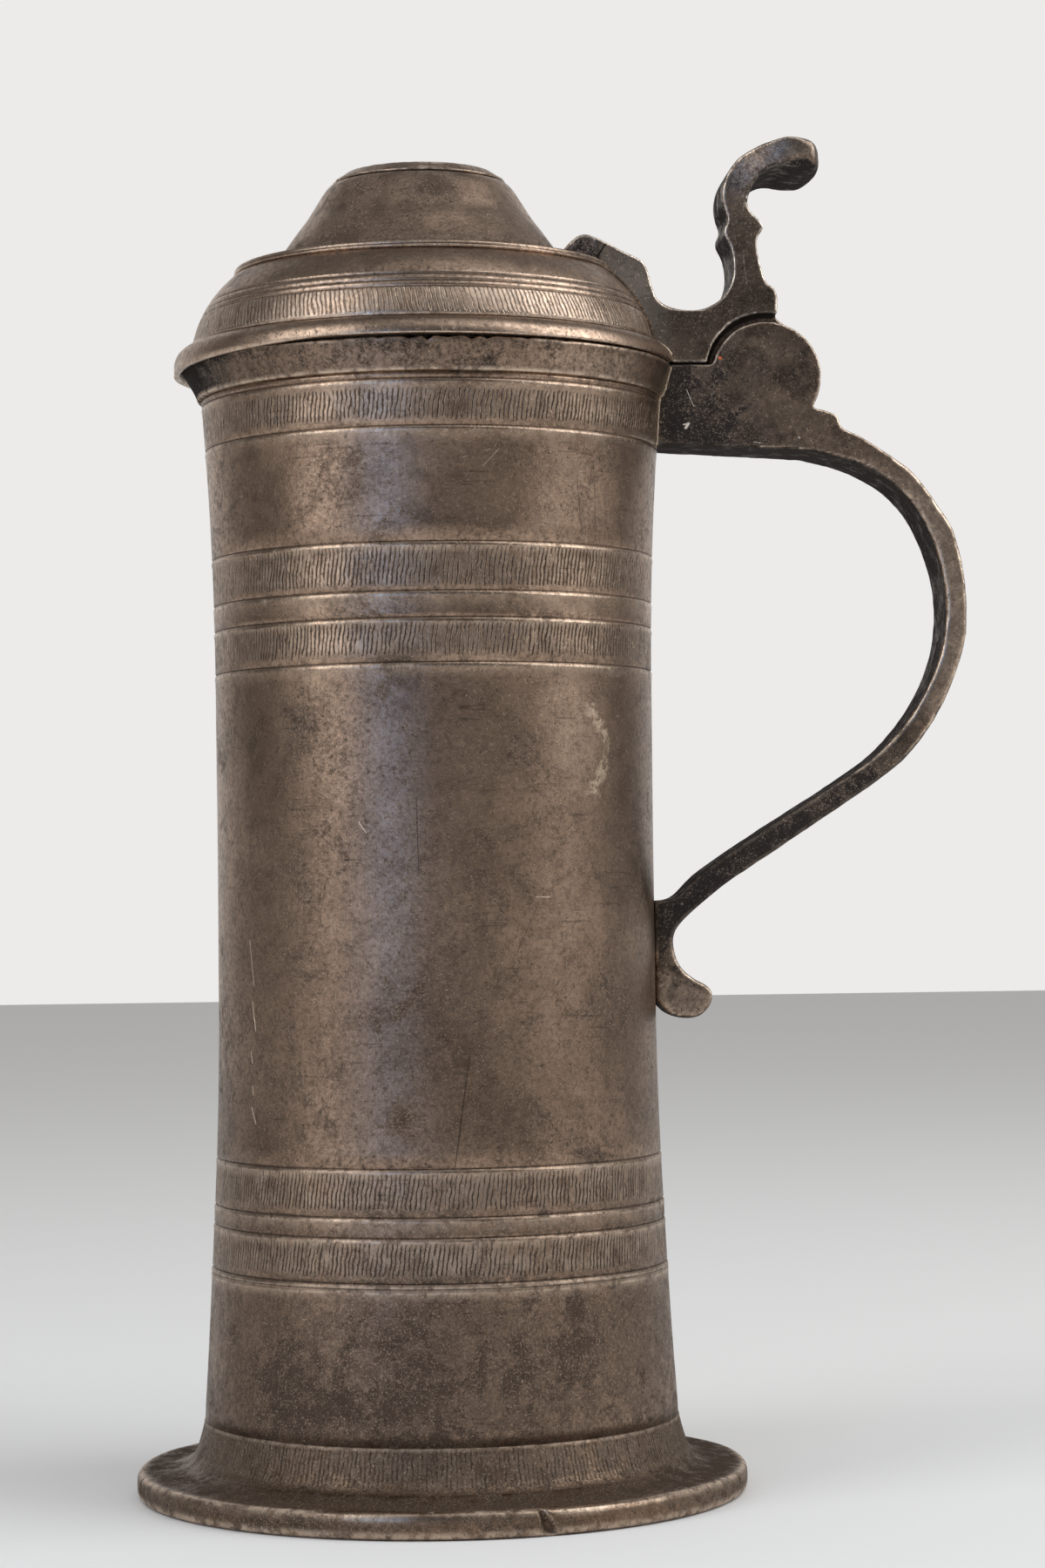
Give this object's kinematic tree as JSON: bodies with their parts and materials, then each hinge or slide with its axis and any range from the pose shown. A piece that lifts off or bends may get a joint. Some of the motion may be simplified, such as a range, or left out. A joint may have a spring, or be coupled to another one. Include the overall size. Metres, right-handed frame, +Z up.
{
  "type": "lidded flagon",
  "caption": "Tall waisted pewter flagon with a wide flat foot, a hinged stepped lid, a strap handle and a scrolled thumbpiece that lifts the lid.",
  "frame": {"origin": "centre of the foot on the surface that the flagon stands on", "axes": "+Z up along the drum's axis, +X towards the handle, so the pouring lip points to -X and the hinge pin lies along Y"},
  "size_m": [0.2029, 0.1472, 0.3249],
  "materials": {
    "pewter_body": "worn and patinated pewter, brown grey, half dull",
    "pewter_ring": "dark pitted pewter with a bright worn lower edge",
    "pewter_lid": "turned pewter with olive brown patina and bright worn ridges",
    "pewter_handle": "cast pewter, dark brown grey, spotted",
    "pewter_lever": "cast pewter, dark blue grey with bright worn edges",
    "iron_pin": "dull dark iron"
  },
  "bodies": {
    "flagon": {"foot_ring": "pewter_body", "base_disc": "pewter_body", "drum": "pewter_body", "mouth_ring": "pewter_ring", "handle": "pewter_handle", "hinge_pin": "iron_pin"},
    "lid": {"lid_cover": "pewter_lid", "lid_crown": "pewter_lid", "crown_disc": "pewter_lid", "thumb_lever": "pewter_lever"}
  },
  "joints": [
    {"name": "lid_hinge", "type": "hinge", "parent": "flagon", "child": "lid", "pos_m": [0.0808, 0, 0.2673], "axis": [0, 1, 0], "range_deg": [0, 100]}
  ]
}
